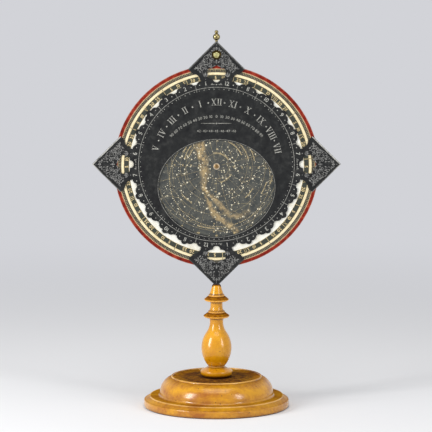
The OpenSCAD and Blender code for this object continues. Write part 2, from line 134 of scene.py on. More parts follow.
def turned_boxwood(pale, deep, level, along, gloss, slope, dull_from, marks):
    """Old boxwood, turned, stained honey and waxed: soft growth rings, cloudy stain and small dark
    knots. Above a height in millimetres, the faces that look up more than the slope lose their wax
    and are dull and browner: partly wear, partly painted shade. Marks are lines round the piece,
    given by radius and height in millimetres and by colour: painted highlights along ridges, and
    painted shadow lines in the corners."""

    def surface(material, place):
        # Fibres are 0.8 mm wide in the wood; drawn 2 mm wide so that they show
        fibre_w, fibre_l = 2 * MM, 40 * MM
        stretch = [1 / fibre_l if axis == along else 1 / fibre_w for axis in "XYZ"]
        fibres = add(material, "Mapping", {"Vector": place, "Scale": stretch})
        streaks = add(material, "TexNoise", {"Vector": fibres, "Scale": 1, "Detail": 4,
                                             "Roughness": 0.5})
        # Growth rings are 1 or 2 mm apart in the wood; drawn 14 mm apart, as bands that show,
        # about a heart that lies outside the piece
        off_heart = (20 * MM, 40 * MM, -60 * MM)
        heart = add(material, "Mapping", {"Vector": place, "Location": off_heart})
        rings = add(material, "TexWave", {
            "Vector": heart, "Scale": RING_PITCH / (13.85 * MM), "Distortion": 4, "Detail": 3,
            "Detail Scale": 0.8, "Detail Roughness": 0.6,
        }, wave_type="RINGS", rings_direction=along, wave_profile="SIN")
        # Stain taken up unevenly, in clouds of 40 mm and of 5 mm
        clouds = add(material, "TexNoise", {"Vector": place, "Scale": 1 / (40 * MM), "Detail": 6,
                                            "Roughness": 0.6})
        mottle = add(material, "TexNoise", {"Vector": place, "Scale": 1 / (5 * MM), "Detail": 4,
                                            "Roughness": 0.65})
        tone = 0
        for pattern, share in [
            (streaks, 0.2), (rings.outputs["Fac"], 0.07), (clouds, 0.62), (mottle, 0.14),
        ]:
            tone = add(material, "Math", {0: pattern, 1: share, 2: tone}, operation="MULTIPLY_ADD")
        stained = add(material, "ValToRGB", {0: tone}, stops=[(0.38, deep), (0.62, pale)])
        # Pin knots of 1.4 mm, one in every other cell of 7 mm
        cells = add(material, "TexVoronoi", {"Vector": place, "Scale": 1 / (7 * MM)})
        knots = add(material, "MapRange", {"Value": cells.outputs["Distance"], "From Min": 0.14,
                                           "From Max": 0.08, "To Max": 0.75})
        chance = add(material, "SeparateXYZ", {"Vector": cells.outputs["Color"]})
        chosen = add(material, "Math", {0: chance.outputs["X"], 1: 0.5}, operation="GREATER_THAN")
        knots = add(material, "Math", {0: knots, 1: chosen}, operation="MULTIPLY")
        knotty = add(material, "Mix", {"Factor": knots, "A": stained, "B": tint("#4a2503")},
                     data_type="RGBA")
        # Painted shade: darker brown in the corners between members, found by ambient occlusion
        corners = add(material, "AmbientOcclusion", {"Distance": 6 * MM}, samples=8)
        corner_shade = add(material, "MapRange", {"Value": corners.outputs["AO"], "From Min": 0.4,
                                          "From Max": 0.9, "To Min": 1, "To Max": 0})
        shaded_colour = add(material, "Mix", {"Factor": corner_shade, "A": knotty, "B": tint("#4e2604")},
                    data_type="RGBA")
        # Faces that look up lose their wax and are browned, those in the dish inside the bead most:
        # partly wear, partly painted shade
        normal = add(material, "NewGeometry").outputs["Normal"]
        up = add(material, "SeparateXYZ", {"Vector": normal}).outputs["Z"]
        looks_up = add(material, "MapRange", {"Value": up, "From Min": slope,
                                              "From Max": slope + 0.28})
        height = add(material, "SeparateXYZ", {"Vector": place}).outputs["Z"]
        is_high = add(material, "Math", {0: height, 1: dull_from * MM}, operation="GREATER_THAN")
        wear_and_painted_light = add(material, "Math", {0: looks_up, 1: is_high}, operation="MULTIPLY")
        level_place = add(material, "VectorMath", {0: place, 1: (1, 1, 0)}, operation="MULTIPLY")
        radius = add(material, "VectorMath", {0: level_place}, operation="LENGTH")
        in_dish = add(material, "MapRange", {"Value": radius, "From Min": DISH_R * MM,
                                             "From Max": (DISH_R - 14) * MM, "To Min": 0.4})
        browned_and_shaded = add(material, "MapRange", {"Value": mottle, "From Min": 0.4, "From Max": 0.62,
                                             "To Min": 1, "To Max": 0.62})
        for share in (wear_and_painted_light, in_dish):
            browned_and_shaded = add(material, "Math", {0: browned_and_shaded, 1: share}, operation="MULTIPLY")
        colour = add(material, "Mix", {"Factor": browned_and_shaded, "A": shaded_colour, "B": tint(level)},
                     data_type="RGBA")
        # The marks, painted highlights and painted shadow lines, are 1 to 3 mm wide, and broken up by
        # the stain's clouds
        profile = add(material, "CombineXYZ", {"X": radius, "Y": height})
        broken = add(material, "MapRange", {"Value": clouds, "From Min": 0.35, "From Max": 0.6,
                                            "To Min": 0.25, "To Max": 0.85})
        for mark_r, mark_height, mark_colour in marks:
            mark = (mark_r * MM, mark_height * MM, 0)
            gap = add(material, "VectorMath", {0: profile, 1: mark}, operation="DISTANCE")
            line = add(material, "MapRange", {"Value": gap, "From Min": 1.5 * MM,
                                              "From Max": 0.5 * MM})
            line = add(material, "Math", {0: line, 1: broken}, operation="MULTIPLY")
            colour = add(material, "Mix", {"Factor": line, "A": colour, "B": tint(mark_colour)},
                         data_type="RGBA")
        wax = add(material, "MapRange", {"Value": wear_and_painted_light, "To Min": 1, "To Max": 0})
        dull = add(material, "MapRange", {"Value": wear_and_painted_light, "To Min": 0.42, "To Max": 1})
        relief = add(material, "Bump", {"Strength": 0.02, "Distance": 0.1 * MM, "Height": streaks})
        return add(material, "BsdfPrincipled", {
            "Base Color": colour, "Roughness": dull, "Specular IOR Level": 0.1, "Normal": relief,
            "Coat Weight": wax, "Coat Roughness": gloss,
        })

    return surface


# Metal


def turned_brass(colour, shade, roughness, relief_mm):
    """Brass, turned or drawn and lacquered: warm yellow, with faint tool marks and darker
    patches where the lacquer has aged."""

    def surface(material, place):
        patches = add(material, "TexNoise", {"Vector": place, "Scale": 1 / (2.5 * MM), "Detail": 4})
        tone = add(material, "ValToRGB", {0: patches}, stops=[(0.3, shade), (0.6, colour)])
        dull = add(material, "MapRange", {"Value": patches, "From Min": 0.3, "From Max": 0.7,
                                          "To Min": roughness + 0.12, "To Max": roughness})
        marks = add(material, "TexNoise", {"Vector": place, "Scale": 1 / (0.5 * MM), "Detail": 2})
        relief = add(material, "Bump", {"Strength": 0.3, "Distance": relief_mm * MM, "Height": marks})
        return add(material, "BsdfPrincipled", {
            "Base Color": tone, "Metallic": 1, "Roughness": dull, "Normal": relief,
        })

    return surface


# Card, paper and cloth


def black_printed_card(material, place):
    """Card under black printed paper: nearly black and slightly cloudy, with a painted highlight in
    pale grey along the corners' outer edges, where the card's cut edge catches the light."""
    clouds = add(material, "TexNoise", {"Vector": place, "Scale": 1 / (9 * MM), "Detail": 6,
                                        "Roughness": 0.7})
    black = add(material, "ValToRGB", {0: clouds},
                stops=[(0.3, "#151517"), (0.52, "#222323"), (0.72, "#363635")])
    # Distance from the corners' outer edges, which run at 45 degrees
    apart = add(material, "SeparateXYZ", {"Vector": place})
    across = add(material, "Math", {0: apart.outputs["X"]}, operation="ABSOLUTE")
    height = add(material, "Math", {0: apart.outputs["Z"], 1: MASK_MIDDLE}, operation="SUBTRACT")
    up = add(material, "Math", {0: height}, operation="ABSOLUTE")
    reach = add(material, "Math", {0: across, 1: up}, operation="ADD")
    wear_and_painted_light = add(material, "MapRange", {"Value": reach, "From Min": (TIP_R - 1.8) * MM,
                                      "From Max": (TIP_R - 0.7) * MM})
    # The painted highlight is strongest on the upper edges of the left and right corners, and broken
    # here and there
    side_corners = add(material, "MapRange", {"Value": across, "From Min": 80 * MM,
                                         "From Max": 110 * MM, "To Min": 0.25})
    upper = add(material, "MapRange", {"Value": height, "From Min": -10 * MM,
                                       "From Max": 2 * MM, "To Min": 0.3})
    patch_noise = add(material, "TexNoise", {"Vector": place, "Scale": 1 / (6 * MM), "Detail": 5,
                                      "Roughness": 0.8})
    highlight_breaks = add(material, "MapRange", {"Value": patch_noise, "From Min": 0.36, "From Max": 0.52,
                                        "To Min": 0.1})
    for share in (side_corners, upper, highlight_breaks):
        wear_and_painted_light = add(material, "Math", {0: wear_and_painted_light, 1: share}, operation="MULTIPLY")
    colour = add(material, "Mix", {"Factor": wear_and_painted_light, "A": black, "B": tint("#c4c2ba")},
                 data_type="RGBA")
    tooth = add(material, "TexNoise", {"Vector": place, "Scale": 1 / (0.6 * MM), "Detail": 3})
    relief = add(material, "Bump", {"Strength": 0.25, "Distance": 0.03 * MM, "Height": tooth})
    return add(material, "BsdfPrincipled", {
        "Base Color": colour, "Roughness": 0.5, "Specular IOR Level": 0.16, "Normal": relief,
    })


def rough_board(pale, deep):
    """Pulp board, pressed: small grey-brown fibres in every direction."""

    def surface(material, place):
        fibres = add(material, "TexNoise", {"Vector": place, "Scale": 1 / (1.2 * MM), "Detail": 6,
                                            "Roughness": 0.75, "Distortion": 1.2})
        colour = add(material, "ValToRGB", {0: fibres}, stops=[(0.35, deep), (0.65, pale)])
        relief = add(material, "Bump", {"Strength": 0.4, "Distance": 0.06 * MM, "Height": fibres})
        return add(material, "BsdfPrincipled", {
            "Base Color": colour, "Roughness": 0.8, "Specular IOR Level": 0.3, "Normal": relief,
        })

    return surface


def sky_ground(material, place):
    """Colour of the printed sky: slate, clouded by age."""
    clouds = add(material, "TexNoise", {"Vector": place, "Scale": 1 / (7 * MM), "Detail": 6,
                                        "Roughness": 0.7})
    return add(material, "ValToRGB", {0: clouds},
               stops=[(0.3, "#323536"), (0.5, "#464845"), (0.72, "#5f5e55")])


def printed_sky(material, place):
    """Lithographed paper, slate-coloured, under a satin varnish: smooth, with a soft sheen."""
    return add(material, "BsdfPrincipled", {
        "Base Color": sky_ground(material, place), "Roughness": 0.5, "Specular IOR Level": 0.2,
    })


def printed_milky_way(material, place):
    """The tan band of the Milky Way: stippled clouds that fade into the sky on both sides. The
    band's UV map holds the strength of the print and the place across the band, from 0 to 1."""
    band = add(material, "SeparateXYZ", {"Vector": add(material, "UVMap", uv_map="band")})
    clouds = add(material, "TexNoise", {"Vector": place, "Scale": 1 / (4 * MM), "Detail": 8,
                                        "Roughness": 0.78})
    ragged = add(material, "TexNoise", {"Vector": place, "Scale": 1 / (13 * MM), "Detail": 4,
                                        "Roughness": 0.6})
    across = add(material, "Math", {0: ragged, 1: 0.7, 2: band.outputs["Y"]},
                 operation="MULTIPLY_ADD")
    side = add(material, "Math", {0: across, 1: 0.85}, operation="SUBTRACT")
    side = add(material, "Math", {0: side}, operation="ABSOLUTE")
    fade = add(material, "MapRange", {"Value": side, "From Min": 0.4, "From Max": 0.08})
    share = add(material, "MapRange", {"Value": clouds, "From Min": 0.4, "From Max": 0.57})
    for factor in (fade, band.outputs["X"]):
        share = add(material, "Math", {0: share, 1: factor}, operation="MULTIPLY")
    colour = add(material, "Mix", {"Factor": share, "A": sky_ground(material, place),
                                   "B": tint("#b49c70")}, data_type="RGBA")
    return add(material, "BsdfPrincipled", {
        "Base Color": colour, "Roughness": 0.5, "Specular IOR Level": 0.2,
    })


# Printed bands of the date ring: outer radius in millimetres and colour, from inside
DATE_BANDS = [
    (107.0, "#e4e3d9"),
    (113.5, "#33372f"),
    (116.3, "#e6d8b0"),
    (117.2, "#4a4336"),
    (120.4, "#3b3c36"),
    (DATES_R, "#c9b38c"),
]


def printed_dates(material, place):
    """Pale paper with the printed bands of months and days, slightly yellowed in places."""
    from_pole = add(material, "VectorMath", {0: place, 1: (0, SHEET_FACE, POLE)},
                    operation="SUBTRACT")
    radius = add(material, "VectorMath", {0: from_pole}, operation="LENGTH")
    # The colour ramp runs from the ring's inner edge to 1 mm outside it
    ramp_end = DATES_R + 1
    outward = add(material, "MapRange", {"Value": radius, "From Min": STAR_R * MM,
                                         "From Max": ramp_end * MM})
    starts = [STAR_R] + [outer for outer, _ in DATE_BANDS]
    stops = [((start - STAR_R) / (ramp_end - STAR_R), colour)
             for start, (_, colour) in zip(starts, DATE_BANDS)]
    bands = add(material, "ValToRGB", {0: outward}, stops=stops)
    bands.color_ramp.interpolation = "CONSTANT"
    age = add(material, "TexNoise", {"Vector": place, "Scale": 1 / (12 * MM), "Detail": 5,
                                     "Roughness": 0.65})
    yellowed = add(material, "ValToRGB", {0: age}, stops=[(0.3, "#ddd3b8"), (0.55, "#ffffff")])
    colour = add(material, "Mix", {"Factor": 0.6, "A": bands, "B": yellowed}, data_type="RGBA",
                 blend_type="MULTIPLY")
    return add(material, "BsdfPrincipled", {
        "Base Color": colour, "Roughness": 0.5, "Specular IOR Level": 0.35,
    })


def red_bookcloth(material, place):
    """Red bookcloth folded over the chart's edge: a fine weave, paled by wear on the fold."""
    # Threads are 0.3 mm apart in the cloth; drawn 1.7 mm apart so that they show
    weave = add(material, "TexWave", {"Vector": place, "Scale": BAND_PITCH / (1.68 * MM),
                                      "Distortion": 1.5},
                wave_type="BANDS", bands_direction="DIAGONAL")
    patch_noise = add(material, "TexNoise", {"Vector": place, "Scale": 1 / (7 * MM), "Detail": 6,
                                      "Roughness": 0.75})
    red = add(material, "ValToRGB", {0: patch_noise},
              stops=[(0.3, "#48100a"), (0.52, "#801c0a"), (0.75, "#a24a30")])
    # The fold itself and the cloth's cut edge are rubbed, here and there
    from_pole = add(material, "VectorMath", {0: place, 1: (0, 0, POLE)}, operation="SUBTRACT")
    upright = add(material, "VectorMath", {0: from_pole, 1: (1, 0, 1)}, operation="MULTIPLY")
    radius = add(material, "VectorMath", {0: upright}, operation="LENGTH")
    middle = (CHART_R + DATES_R) / 2
    half, rubbed_w = CHART_R - middle, 0.9
    off_middle = add(material, "Math", {0: radius, 1: middle * MM}, operation="SUBTRACT")
    off_middle = add(material, "Math", {0: off_middle}, operation="ABSOLUTE")
    edge = add(material, "MapRange", {"Value": off_middle, "From Min": (half - rubbed_w) * MM,
                                      "From Max": half * MM})
    patches = add(material, "MapRange", {"Value": patch_noise, "From Min": 0.4, "From Max": 0.6,
                                         "To Min": 0.15, "To Max": 0.8})
    wear_and_painted_light = add(material, "Math", {0: edge, 1: patches}, operation="MULTIPLY")
    colour = add(material, "Mix", {"Factor": wear_and_painted_light, "A": red, "B": tint("#b98a74")}, data_type="RGBA")
    relief = add(material, "Bump", {"Strength": 0.5, "Distance": 0.08 * MM,
                                    "Height": weave.outputs["Fac"]})
    return add(material, "BsdfPrincipled", {
        "Base Color": colour, "Roughness": 0.65, "Specular IOR Level": 0.15, "Normal": relief,
    })


def ink(bright, thin, cover):
    """Metallic printer's ink on dark paper, thin and broken in places, so that the ground
    shows through."""

    def surface(material, place):
        breaks = add(material, "TexNoise", {"Vector": place, "Scale": 1 / (1.6 * MM), "Detail": 4,
                                            "Roughness": 0.7})
        colour = add(material, "ValToRGB", {0: breaks}, stops=[(cover, thin), (cover + 0.2, bright)])
        return add(material, "BsdfPrincipled", {
            "Base Color": colour, "Roughness": 0.45, "Specular IOR Level": 0.4,
        })

    return surface


# Finishes of this planisphere

# Colours of the marks on the wood: painted highlights, and painted shadow lines
LIT_EDGE = "#ecbf70"
WARM_LIT_EDGE = "#e6a848"
SHADOW_LINE = "#522805"
# Marks on the base, painted highlights: pale lines along the edge of its step and the top of its bead
BASE_MARKS = [(82, 13.8, LIT_EDGE), (54.6, 37.5, LIT_EDGE)]
# Each collar of the stem: the radius and height of its rim, the radius of the step over it, and
# the radii of the stem above and below it
COLLARS = [(15.9, 113, 10.7, 9.5, 8.5), (15.1, 133.4, 10.2, 9, 8)]
# Marks on the stem: painted highlights along each collar's rim and the edge of its step, and painted
# shadow lines just under the step's edge, at the foot of the stem above and on the stem under the rim
STEM_MARKS = []
for collar_r, rim, step_r, above_r, below_r in COLLARS:
    STEM_MARKS += [
        (collar_r - 0.4, rim - 0.9, WARM_LIT_EDGE), (step_r, rim + 5.3, WARM_LIT_EDGE),
        (step_r + 0.8, rim + 3.8, SHADOW_LINE), (above_r, rim + 7.2, SHADOW_LINE), (below_r, rim - 3, SHADOW_LINE),
    ]

# The third colour is that of the faces that look up: partly worn wax, partly painted shade
stem_wood = finish("waxed_boxwood_stem", turned_boxwood(
    "#dc9c06", "#c28004", "#7c4606", along="Z", gloss=0.19, slope=0.42, dull_from=100,
    marks=STEM_MARKS))
base_wood = finish("waxed_boxwood_base", turned_boxwood(
    "#d6980a", "#9e5a04", "#4a290c", along="X", gloss=0.2, slope=0.7, dull_from=0,
    marks=BASE_MARKS))
polished_brass = finish("polished_brass", turned_brass("#a29468", "#4a4024", 0.12, 0.004))
lacquered_brass = finish("lacquered_brass", turned_brass("#cfa75c", "#94733a", 0.26, 0.02))
pale_brass = finish("pale_screw_brass", turned_brass("#dcd8a0", "#a89c5c", 0.26, 0.004))
old_brass = finish("tarnished_brass", turned_brass("#453a1c", "#241d10", 0.38, 0.05))
rivet_brass = finish("browned_brass", turned_brass("#9c8058", "#665238", 0.28, 0.02))
gilt_brass = finish("gilt_brass", turned_brass("#e8d8bc", "#b8a486", 0.24, 0.02))
mask_card = finish("black_printed_card", black_printed_card)
back_card = finish("dark_pulp_board", rough_board("#4a4640", "#322f2b"))
spacer_card = finish("black_pulp_board", rough_board("#201f20", "#141414"))
chart_card = finish("grey_pulp_board", rough_board("#a08a6c", "#7a664c"))
sky_paper = finish("printed_sky_paper", printed_sky)
milky_way_paper = finish("printed_milky_way", printed_milky_way)
date_paper = finish("printed_date_paper", printed_dates)
binding_cloth = finish("red_bookcloth", red_bookcloth)
silver_ink = finish("silver_ink", ink("#b5b4aa", "#5a5a57", 0.36))
dim_silver_ink = finish("dim_silver_ink", ink("#9c9b93", "#55554f", 0.36))
scroll_ink = finish("worn_silver_ink", ink("#92918c", "#444444", 0.42))
gold_ink = finish("gold_ink", ink("#e2cb95", "#8d7c58", 0.34))
dim_gold_ink = finish("dim_gold_ink", ink("#a5946c", "#5c574a", 0.38))
star_ink = finish("star_ink", ink("#f0e8cc", "#c8b890", 0.3))
black_ink = finish("black_ink", ink("#2b2a26", "#4a4840", 0.3))

for node_name, material in {
    "base": base_wood,
    "stem": stem_wood,
    "support_rod": lacquered_brass,
    "rod_block": lacquered_brass,
    "finial": polished_brass,
    "fixing_screw": pale_brass,
    "screw_cup": old_brass,
    "front_mask": mask_card,
    "back_board": back_card,
    "spacer_top": spacer_card,
    "spacer_right": spacer_card,
    "spacer_bottom": spacer_card,
    "spacer_left": spacer_card,
    "pole_rivet": rivet_brass,
    "rivet_washer": lacquered_brass,
    "chart_board": chart_card,
    "star_sheet": sky_paper,
    "date_ring": date_paper,
    "edge_binding": binding_cloth,
    "pole_eyelet": gilt_brass,
}.items():
    dress(node_name, material)


# Drawing

# Degrees from point to point of an arc
ARC_STEP = 1.5


def turned(points, angle):
    """Points turned clockwise by an angle in degrees about the drawing's middle."""
    s, c = math.sin(math.radians(angle)), math.cos(math.radians(angle))
    return [(x * c + y * s, y * c - x * s) for x, y in points]


def on_dial(radius, angle):
    """The point at a radius and at an angle in degrees, clockwise from the top."""
    return turned([(0, radius)], angle)[0]


def arc(radius, start, end):
    """Points along a circle, clockwise from one angle to another."""
    count = max(2, math.ceil(abs(end - start) / ARC_STEP))
    return [on_dial(radius, start + (end - start) * i / count) for i in range(count + 1)]


class Drawing:
    """Flat ink shapes in millimetres, measured from the middle of their sheet."""

    def __init__(self):
        self.points = []
        self.faces = []

    def shape(self, outline):
        """A filled outline, given in either sense."""
        turn = sum(a[0] * b[1] - b[0] * a[1] for a, b in zip(outline, outline[1:] + outline[:1]))
        first = len(self.points)
        self.points += outline if turn > 0 else outline[::-1]
        self.faces.append(range(first, first + len(outline)))

    def line(self, path, width, end_width=None, closed=False):
        """A pen stroke along a path, which may taper to another width at its end."""
        end_width = width if end_width is None else end_width
        count = len(path)
        first = len(self.points)
        for i, (x, y) in enumerate(path):
            before = path[i - 1] if i or closed else path[0]
            after = path[(i + 1) % count] if i < count - 1 or closed else path[-1]
            dx, dy = after[0] - before[0], after[1] - before[1]
            size = math.hypot(dx, dy) or 1
            half = (width + (end_width - width) * i / max(1, count - 1)) / 2
            nx, ny = -dy / size * half, dx / size * half
            self.points += [(x + nx, y + ny), (x - nx, y - ny)]
        for i in range(count if closed else count - 1):
            a, b = first + 2 * i, first + 2 * ((i + 1) % count)
            self.faces.append((a, a + 1, b + 1, b))

    def spoke(self, angle, start, end, width):
        """A straight stroke outwards, from one radius to another."""
        self.line([on_dial(start, angle), on_dial(end, angle)], width)

    def ring(self, radius, width):
        """A full circle."""
        self.line(arc(radius, 0, 360)[:-1], width, closed=True)

    def dot(self, x, y, radius, sides=10):
        """A round dot."""
        self.shape([
            (x + radius * math.cos(2 * math.pi * i / sides),
             y + radius * math.sin(2 * math.pi * i / sides)) for i in range(sides)
        ])

    def star(self, x, y, radius, tips=6):
        """A small star with sharp tips."""
        inner = radius * 0.45
        self.shape([
            (x + r * math.sin(math.pi * i / tips), y + r * math.cos(math.pi * i / tips))
            for i in range(2 * tips) for r in [inner if i % 2 else radius]
        ])

    def stamp(self, shapes, radius, angle, middle):
        """Puts filled outlines, drawn upright with their foot at 0, on a dial: up is outward."""
        for outline in shapes:
            moved = turned([(x, y + radius) for x, y in outline], angle)
            self.shape([(x + middle[0], y + middle[1]) for x, y in moved])


def put(name, data):
    """A new object in the scene, with that data."""
    piece = bpy.data.objects.new(name, data)
    bpy.context.scene.collection.objects.link(piece)
    return piece


def carry(name, mesh, material, body):
    """Puts a printed mesh in the scene, on the body that its sheet belongs to."""
    mesh.materials.append(material)
    piece = put(name, mesh)
    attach(piece, body)


def lay(drawing, name, middle, face, lift, material, body):
    """Lays a drawing on a sheet's face, lifted towards the viewer by some millimetres."""
    mesh = bpy.data.meshes.new(name)
    y = face - lift * MM
    mesh.from_pydata([(x * MM, y, middle + z * MM) for x, z in drawing.points], [],
                     [tuple(corners) for corners in drawing.faces])
    mesh.validate()
    carry(name, mesh, material, body)


def lay_on_mask(drawing, name, material, lift=0.02):
    """Lays a drawing on the mask, about its middle."""
    lay(drawing, name, MASK_MIDDLE, MASK_FACE, lift, material, "stand")


def lay_on_chart(drawing, name, material, lift=0.02):
    """Lays a drawing on the chart, about the pole."""
    lay(drawing, name, POLE, SHEET_FACE, lift, material, "chart")


# Numerals

# Height of a figure in the plain font, where the font's size is 1
FIGURE_H = 0.73
digit_shapes = {}


def digit(sign):
    """The outlines and width of a figure of height 1, standing on 0, from the plain font."""
    if sign not in digit_shapes:
        curve = bpy.data.curves.new("figure", "FONT")
        curve.body = sign
        curve.resolution_u = 3
        # Slightly bold, as printed
        curve.offset = 0.012
        text = bpy.data.objects.new("figure", curve)
        mesh = text.to_mesh()
        points = [(v.co.x, v.co.y) for v in mesh.vertices]
        outlines = [[points[i] for i in p.vertices] for p in mesh.polygons]
        text.to_mesh_clear()
        bpy.data.objects.remove(text)
        bpy.data.curves.remove(curve)
        left, right = min(x for x, y in points), max(x for x, y in points)
        digit_shapes[sign] = (
            [[((x - left) / FIGURE_H, y / FIGURE_H) for x, y in o] for o in outlines],
            (right - left) / FIGURE_H,
        )
    return digit_shapes[sign]


# Roman letters of height 1: thick and thin strokes and their serifs
THICK = 0.12
THIN = 0.05
SERIF = 0.055
TOP = 1 - SERIF


def stroke(foot, head, width):
    """A stroke of a letter from 0 to 1, cut level at both ends."""
    half = width / 2
    return [(foot - half, 0), (foot + half, 0), (head + half, 1), (head - half, 1)]


def serif(left, right, height):
    """A serif, by its ends and the height that it starts at."""
    return [(left, height), (right, height), (right, height + SERIF), (left, height + SERIF)]


# Each letter's outlines and width
ROMAN = {
    "I": ([stroke(0.15, 0.15, 0.11), serif(0, 0.3, 0), serif(0, 0.3, TOP)], 0.3),
    "V": ([stroke(0.38, 0.14, THICK), stroke(0.38, 0.62, THIN), serif(0, 0.3, TOP),
           serif(0.5, 0.74, TOP)], 0.74),
    "X": ([stroke(0.62, 0.14, THICK), stroke(0.12, 0.62, THIN), serif(0, 0.25, 0),
           serif(0.47, 0.78, 0), serif(0, 0.28, TOP), serif(0.5, 0.75, TOP)], 0.78),
}
ROMAN_NUMERALS = ["I", "II", "III", "IV", "V", "VI", "VII", "VIII", "IX", "X", "XI", "XII"]


def write(drawing, text, radius, angle, height, letter=digit, space=0.14, middle=(0, 0)):
    """Writes a number on a dial, sign by sign along the circle, centred on the angle. The space
    between signs is a share of their height."""
    signs = [letter(sign) for sign in text]
    total = sum(width for _, width in signs) + space * (len(signs) - 1)
    x = -total / 2
    for outlines, width in signs:
        turn = math.degrees((x + width / 2) * height / radius)
        drawing.stamp([[((px - width / 2) * height, py * height) for px, py in o]
                       for o in outlines], radius, angle + turn, middle)
        x += width + space


# Print on the mask: radii, heights and widths in millimetres, angles in degrees

SCALLOPS = 24
HOUR_STEP = 360 / SCALLOPS
HOUR_RING_R = 95.3
HOUR_LINE = (92, 101)
CORNER_MARK_R = 98.7
HOUR_NUMBER_R = 98.2
HOUR_NUMBER_H = 5.2
HOUR_DOT_R = 99.9
QUARTER_DOT_R = 93


def draw_hours():
    """The hour circle, the hour lines, the numbers in the scallops and their dots."""
    fine, bold = Drawing(), Drawing()
    fine.ring(HOUR_RING_R, width=0.55)
    for i in range(SCALLOPS):
        line_angle = i * HOUR_STEP
        middle_angle = line_angle + HOUR_STEP / 2
        if i % 6:
            fine.spoke(line_angle, *HOUR_LINE, width=0.5)
        else:
            # In line with the corners there is a dot between two dashes instead
            bold.dot(*on_dial(CORNER_MARK_R, line_angle), radius=0.7)
            for side in (-1, 1):
                dash = arc(CORNER_MARK_R, line_angle + side * 1.2, line_angle + side * 4)
                fine.line(dash, width=0.6)
        # Hours run against the clock, with midnight at the top
        hour = (SCALLOPS - 1 - i) % 12 + 1
        write(bold, str(hour), HOUR_NUMBER_R, middle_angle, HOUR_NUMBER_H)
        for side in (-1, 1):
            bold.dot(*on_dial(HOUR_DOT_R, middle_angle + side * 4.4), radius=0.6)
        for k in range(4):
            dot_angle = line_angle + (k + 0.5) * HOUR_STEP / 4
            bold.dot(*on_dial(QUARTER_DOT_R, dot_angle), radius=0.5)
    lay_on_mask(fine, "hour_lines", dim_silver_ink)
    lay_on_mask(bold, "hour_numbers", silver_ink, lift=0.03)


NIGHT_R = 72.9
NIGHT_H = 8.3
NIGHT_STAR_R = 76.6


def draw_night_hours():
    """The hours of the night in large Roman numerals, in line with the hour lines."""
    numerals = Drawing()
    for k in range(-5, 6):
        numeral = ROMAN_NUMERALS[(11 - k) % 12]
        write(numerals, numeral, NIGHT_R, k * HOUR_STEP, NIGHT_H, letter=ROMAN.get, space=0.06)
        if k < 5:
            numerals.star(*on_dial(NIGHT_STAR_R, (k + 0.5) * HOUR_STEP), radius=1.3, tips=4)
    lay_on_mask(numerals, "night_hour_numerals", silver_ink, lift=0.03)


# The scale of degrees, about a middle of its own
DEGREES_MIDDLE = (0, -16.7)
DEGREES_R = 74.3
DEGREES_H = 3.5
TEN_DEGREES = 5.1
# The rule under it, and the row of latitudes, by their heights over the mask's middle
RULE_Z = 50.7
RULE_HALF = 19
LATITUDES_Z = 39.8
LATITUDES_H = 3
LATITUDES_PITCH = 7.2


def draw_degrees():
    """The arc of degrees under the numerals, a tapered rule and the row of latitudes."""
    small = Drawing()
    for k in range(-9, 10):
        write(small, str(abs(k) * 10), DEGREES_R, k * TEN_DEGREES, DEGREES_H,
              middle=DEGREES_MIDDLE)
    for k in range(7):
        x = (k - 3) * LATITUDES_PITCH
        write(small, str(LATITUDE - 3 + k), LATITUDES_Z, 0, LATITUDES_H, middle=(x, 0))
        if k < 6:
            small.dot(x + LATITUDES_PITCH / 2, LATITUDES_Z + 1.4, radius=0.35)
    for side in (-1, 1):
        small.line([(side * 2.4, RULE_Z), (side * RULE_HALF, RULE_Z)], width=1, end_width=0.25)
    small.shape([(1.6, RULE_Z), (0, RULE_Z + 1.2), (-1.6, RULE_Z), (0, RULE_Z - 1.2)])
    lay_on_mask(small, "degree_numbers", dim_silver_ink)


def horizon_point(hour_angle, grow):
    """A point at an hour angle, outside the horizon window's edge by some millimetres."""
    tilt = math.tan(math.radians(LATITUDE))
    radius = DEGREE * (90 + math.degrees(math.atan(math.cos(math.radians(hour_angle)) / tilt)))
    x, y = on_dial(radius, hour_angle)
    x, y = x * WINDOW_WIDEN, -y
    size = math.hypot(x, y)
    return x * (size + grow) / size, y * (size + grow) / size


def draw_window_border():
    """A fine pale line round the horizon window."""
    border = Drawing()
    edge = [horizon_point(angle, grow=1.1) for angle in range(0, 360, 3)]
    border.line(edge, width=0.45, closed=True)
    lay_on_mask(border, "window_border", dim_silver_ink)


def spiral(cx, cy, radius, start, turns, hand):
    """Points along a scroll that winds into its eye."""
    count = max(6, round(16 * turns))
    eye = 0.22
    points = []
    for i in range(count + 1):
        share = i / count
        angle = math.radians(start + hand * 360 * turns * share)
        size = radius * (1 - (1 - eye) * share)
        points.append((cx + size * math.cos(angle), cy + size * math.sin(angle)))
    return points


def leaf(x, y, length, width, angle):
    """Outline of a pointed leaf from its foot along an angle."""
    c, s = math.cos(math.radians(angle)), math.sin(math.radians(angle))
    side = []
    for i in range(8):
        share = i / 7
        side.append((length * share, width / 2 * math.sin(math.pi * share ** 0.75)))
    outline = side + [(px, -py) for px, py in side[-2:0:-1]]
    return [(x + px * c - py * s, y + px * s + py * c) for px, py in outline]


# The right half of a corner's scrollwork, in the top corner. It is drawn wide and then narrowed,
# which leaves a margin along the card's edges
NARROWED = 0.9
# Scrolls: middle, radius, the angle that they start at, turns, and 1 for anticlockwise or -1
SCROLLS = [
    (13.4, 131.8, 3.9, 255, 1.35, 1), (13.9, 125.2, 3.3, 100, 1.3, -1),
    (19.2, 118.6, 3.2, 70, 1.3, -1), (8.2, 136.9, 2.7, 215, 1.15, 1),
    (5.6, 129.2, 2.3, 280, 1.2, 1), (24.2, 121.6, 2.3, 190, 1.15, -1),
    (8.6, 122.8, 2.4, 20, 1.2, 1), (19.2, 126, 2.1, 240, 1.1, 1),
    (3, 142.6, 1.9, 250, 1.1, 1), (14.8, 118.8, 2, 130, 1.1, -1),
]
